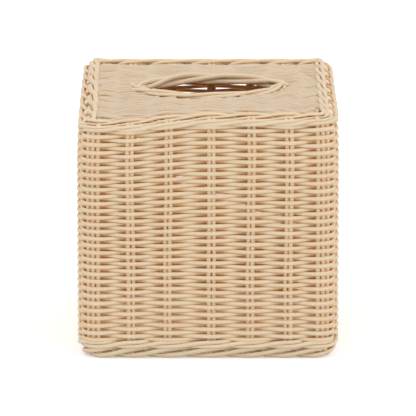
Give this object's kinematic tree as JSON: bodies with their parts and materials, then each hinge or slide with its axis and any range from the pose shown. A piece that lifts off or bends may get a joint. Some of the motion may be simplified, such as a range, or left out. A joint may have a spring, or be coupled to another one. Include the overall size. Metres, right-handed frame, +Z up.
{
  "type": "tissue box cover",
  "caption": "Square woven cane cover that stands mouth down over a cube box of tissues, with a rope-rimmed, lens-shaped slot across the top to pull a tissue through.",
  "frame": {"origin": "centre of the square footprint, at the level of the surface that the cover stands on", "axes": "+Z up, +X to the right and +Y away from the viewer at the front; the slot's long way runs along X"},
  "size_m": [0.146, 0.146, 0.1426],
  "materials": {
    "weave_cane": "peeled round cane, matt with a slight sheen",
    "top_cane": "peeled round cane, matt with a slight sheen",
    "stake_cane": "peeled round cane, matt",
    "rope_cane": "peeled round cane, matt with a slight sheen"
  },
  "bodies": {
    "root": {"long_stake_left": "stake_cane", "long_stake_right": "stake_cane", "long_stake_pair_1": "stake_cane", "long_stake_pair_2": "stake_cane", "long_stake_pair_3": "stake_cane", "long_stake_pair_4": "stake_cane", "long_stake_pair_5": "stake_cane", "corner_stakes_front_left": "stake_cane", "corner_stakes_front_right": "stake_cane", "corner_stakes_back_right": "stake_cane", "corner_stakes_back_left": "stake_cane", "right_stake_pair_1": "stake_cane", "right_stake_pair_2": "stake_cane", "right_stake_pair_3": "stake_cane", "right_stake_pair_4": "stake_cane", "right_stake_pair_5": "stake_cane", "right_stake_pair_6": "stake_cane", "right_stake_pair_7": "stake_cane", "left_stake_pair_1": "stake_cane", "left_stake_pair_2": "stake_cane", "left_stake_pair_3": "stake_cane", "left_stake_pair_4": "stake_cane", "left_stake_pair_5": "stake_cane", "left_stake_pair_6": "stake_cane", "left_stake_pair_7": "stake_cane", "side_rows_1": "weave_cane", "side_rows_2": "weave_cane", "side_rows_3": "weave_cane", "side_rows_4": "weave_cane", "side_rows_5": "weave_cane", "side_rows_6": "weave_cane", "side_rows_7": "weave_cane", "side_rows_8": "weave_cane", "side_rows_9": "weave_cane", "side_rows_10": "weave_cane", "side_rows_11": "weave_cane", "side_rows_12": "weave_cane", "side_rows_13": "weave_cane", "side_rows_14": "weave_cane", "top_rows_front": "top_cane", "top_rows_back": "top_cane", "slot_rows_left": "top_cane", "slot_rows_right": "top_cane", "edge_rope_rod_1": "rope_cane", "edge_rope_rod_2": "rope_cane", "edge_rope_rod_3": "rope_cane", "upper_wale_rod_1": "rope_cane", "upper_wale_rod_2": "rope_cane", "upper_wale_rod_3": "rope_cane", "lower_wale_rod_1": "rope_cane", "lower_wale_rod_2": "rope_cane", "lower_wale_rod_3": "rope_cane", "slot_rim_rod_1": "top_cane", "slot_rim_rod_2": "top_cane", "slot_rim_rod_3": "top_cane", "border_front": "rope_cane", "border_right": "rope_cane", "border_back": "rope_cane", "border_left": "rope_cane"}
  },
  "joints": []
}
